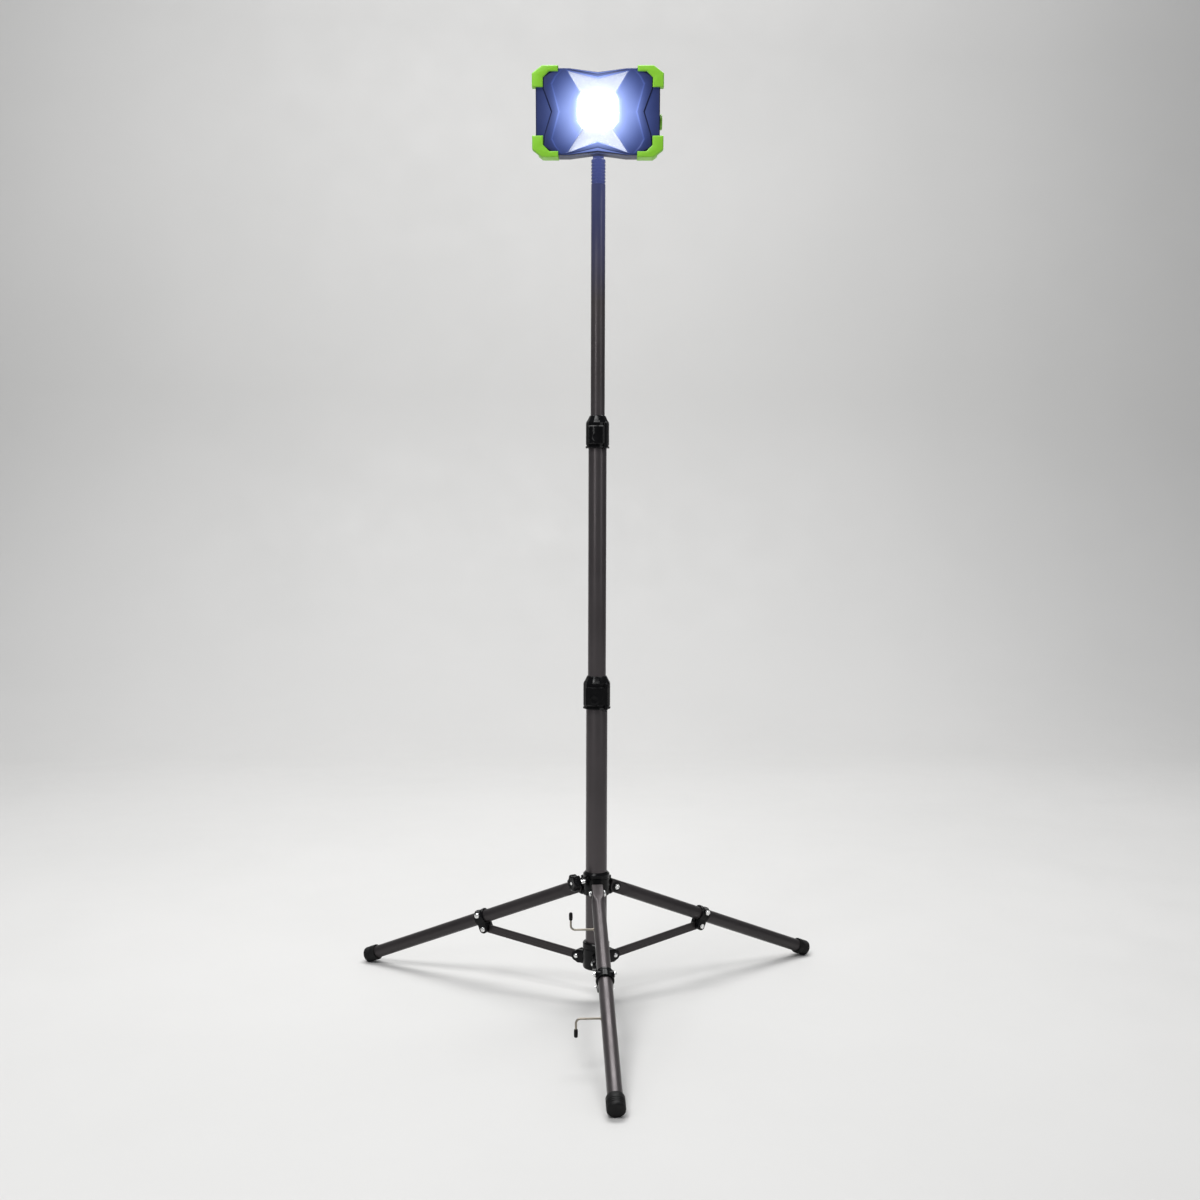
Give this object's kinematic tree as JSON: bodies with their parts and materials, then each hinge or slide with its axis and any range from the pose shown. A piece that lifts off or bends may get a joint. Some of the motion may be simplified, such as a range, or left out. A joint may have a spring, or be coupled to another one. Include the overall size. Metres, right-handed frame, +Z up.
{
  "type": "tripod work light",
  "caption": "Cordless LED floodlight in a U bracket on a telescoping mast with lever clamps and a folding braced tripod.",
  "frame": {"origin": "on the floor, at the centre of the tripod's bounding rectangle; the mast stands 0.101 m behind it in +Y", "axes": "+Z up the mast, -Y the way the front leg points and the lamp faces, +X to the right of someone facing the lamp"},
  "size_m": [0.745, 0.6485, 1.3614],
  "materials": {
    "gunmetal_paint": "satin metallic dark grey paint",
    "black_plastic": "semi-gloss moulded",
    "black_rubber": "matt moulded",
    "bright_steel": "zinc plated",
    "green_plastic": "soft matt moulded, lime green",
    "green_paint": "satin powder coat, lime green",
    "head_plastic": "fine textured moulded, blue black",
    "reflector_white": "bright metallised",
    "clear_lens": "clear polished polycarbonate",
    "led_phosphor": "lit LED array",
    "bare_aluminium": "as extruded",
    "battery_wrap": "shrink wrap",
    "board_green": "solder resist"
  },
  "bodies": {
    "base": {"mast_tube_lower": "gunmetal_paint", "lower_hub": "black_plastic", "collar_lower": "black_plastic", "lever_pin_lower": "bright_steel"},
    "lower_lever": {"lever_lower": "black_plastic"},
    "hub_slider": {"upper_hub": "black_plastic", "hub_bolt_front": "bright_steel", "hub_bolt_right": "bright_steel", "hub_bolt_left": "bright_steel"},
    "locking_knob": {"hub_knob": "black_plastic", "hub_knob_screw": "bright_steel"},
    "front_leg": {"leg_front": "gunmetal_paint", "foot_front": "black_rubber", "leg_clamp_front": "black_plastic", "clamp_bolt_front": "bright_steel", "cable_hook_upper": "bright_steel", "cable_hook_lower": "bright_steel", "hook_tip_upper": "black_rubber", "hook_tip_lower": "black_rubber"},
    "front_brace": {"brace_front": "gunmetal_paint"},
    "right_leg": {"leg_right": "gunmetal_paint", "foot_right": "black_rubber", "leg_clamp_right": "black_plastic", "clamp_bolt_right": "bright_steel"},
    "right_brace": {"brace_right": "gunmetal_paint"},
    "left_leg": {"leg_left": "gunmetal_paint", "foot_left": "black_rubber", "leg_clamp_left": "black_plastic", "clamp_bolt_left": "bright_steel"},
    "left_brace": {"brace_left": "gunmetal_paint"},
    "middle_section": {"mast_tube_middle": "gunmetal_paint", "bush_middle": "black_plastic", "collar_upper": "black_plastic", "lever_pin_upper": "bright_steel"},
    "upper_lever": {"lever_upper": "black_plastic"},
    "upper_section": {"mast_tube_upper": "gunmetal_paint", "bush_upper": "black_plastic"},
    "bracket": {"mast_adapter": "black_plastic", "lamp_bracket": "green_paint", "bracket_bolt": "bright_steel", "pivot_bolt_right": "green_plastic", "pivot_bolt_left": "bright_steel"},
    "wing_nut": {"wing_nut": "black_plastic"},
    "lamp": {"rear_housing": "head_plastic", "front_bezel": "head_plastic", "housing_gasket": "black_rubber", "corner_guard_top_right": "green_plastic", "corner_guard_top_left": "green_plastic", "corner_guard_bottom_right": "green_plastic", "corner_guard_bottom_left": "green_plastic", "lens": "clear_lens", "reflector": "reflector_white", "led_board": "led_phosphor", "heat_sink": "bare_aluminium", "battery_pack": "battery_wrap", "driver_board": "board_green", "charge_port": "black_plastic"},
    "power_button": {"power_button": "green_plastic"},
    "port_cover": {"port_cover": "black_rubber"}
  },
  "joints": [
    {"name": "hub_slide", "type": "slide", "parent": "base", "child": "hub_slider", "axis": [0, 0, 1], "range_m": [0, 0.2422]},
    {"name": "locking_knob_turn", "type": "hinge", "parent": "hub_slider", "child": "locking_knob", "pos_m": [-0.02858, 0.08468, 0.187], "axis": [-0.866, -0.5, 0], "range_deg": [0, 180]},
    {"name": "front_leg_fold", "type": "hinge", "parent": "hub_slider", "child": "front_leg", "pos_m": [0, 0.07018, 0.1735], "axis": [1, 0, 0], "range_deg": [0, 63.98]},
    {"name": "front_brace_fold", "type": "hinge", "parent": "front_leg", "child": "front_brace", "pos_m": [0, -0.09282, 0.08637], "axis": [-1, 0, 0], "range_deg": [0, 149.5]},
    {"name": "right_leg_fold", "type": "hinge", "parent": "hub_slider", "child": "right_leg", "pos_m": [0.02685, 0.11668, 0.1735], "axis": [-0.5, 0.866, 0], "range_deg": [0, 63.98]},
    {"name": "right_brace_fold", "type": "hinge", "parent": "right_leg", "child": "right_brace", "pos_m": [0.168, 0.19818, 0.08637], "axis": [0.5, -0.866, 0], "range_deg": [0, 149.5]},
    {"name": "left_leg_fold", "type": "hinge", "parent": "hub_slider", "child": "left_leg", "pos_m": [-0.02685, 0.11668, 0.1735], "axis": [-0.5, -0.866, 0], "range_deg": [0, 63.98]},
    {"name": "left_brace_fold", "type": "hinge", "parent": "left_leg", "child": "left_brace", "pos_m": [-0.168, 0.19818, 0.08637], "axis": [0.5, 0.866, 0], "range_deg": [0, 149.5]},
    {"name": "middle_slide", "type": "slide", "parent": "base", "child": "middle_section", "axis": [0, 0, -1], "range_m": [0, 0.325]},
    {"name": "upper_slide", "type": "slide", "parent": "middle_section", "child": "upper_section", "axis": [0, 0, -1], "range_m": [0, 0.325]},
    {"name": "lower_lever_open", "type": "hinge", "parent": "base", "child": "lower_lever", "pos_m": [0.01264, 0.08441, 0.4725], "axis": [0, 0, 1], "range_deg": [0, 100]},
    {"name": "upper_lever_open", "type": "hinge", "parent": "middle_section", "child": "upper_lever", "pos_m": [0.01083, 0.0868, 0.86], "axis": [0, 0, 1], "range_deg": [0, 100]},
    {"name": "bracket_swivel", "type": "hinge", "parent": "upper_section", "child": "bracket", "pos_m": [0, 0.10118, 1.24], "axis": [0, 0, 1], "continuous": true},
    {"name": "wing_nut_turn", "type": "hinge", "parent": "bracket", "child": "wing_nut", "pos_m": [0.00021, 0.10417, 1.289], "axis": [0.0698, 0.9976, 0], "range_deg": [0, 180]},
    {"name": "lamp_tilt", "type": "hinge", "parent": "bracket", "child": "lamp", "pos_m": [-0.00593, 0.01639, 1.289], "axis": [0.9976, -0.0698, 0], "range_deg": [-90, 60]},
    {"name": "power_button_press", "type": "slide", "parent": "lamp", "child": "power_button", "axis": [-0.0694, -0.9921, -0.1045], "range_m": [0, 0.0015], "stiffness_N_per_m": 600, "springref_m": -0.001},
    {"name": "port_cover_open", "type": "hinge", "parent": "lamp", "child": "port_cover", "pos_m": [-0.04936, 0.04046, 1.33042], "axis": [0.9976, -0.0698, 0], "range_deg": [0, 110]}
  ],
  "couplings": [
    {"joint": "front_leg_fold", "follows": "hub_slide", "rad_per_m": 4.6099},
    {"joint": "front_brace_fold", "follows": "hub_slide", "rad_per_m": 10.772},
    {"joint": "right_leg_fold", "follows": "hub_slide", "rad_per_m": 4.6099},
    {"joint": "right_brace_fold", "follows": "hub_slide", "rad_per_m": 10.772},
    {"joint": "left_leg_fold", "follows": "hub_slide", "rad_per_m": 4.6099},
    {"joint": "left_brace_fold", "follows": "hub_slide", "rad_per_m": 10.772}
  ]
}
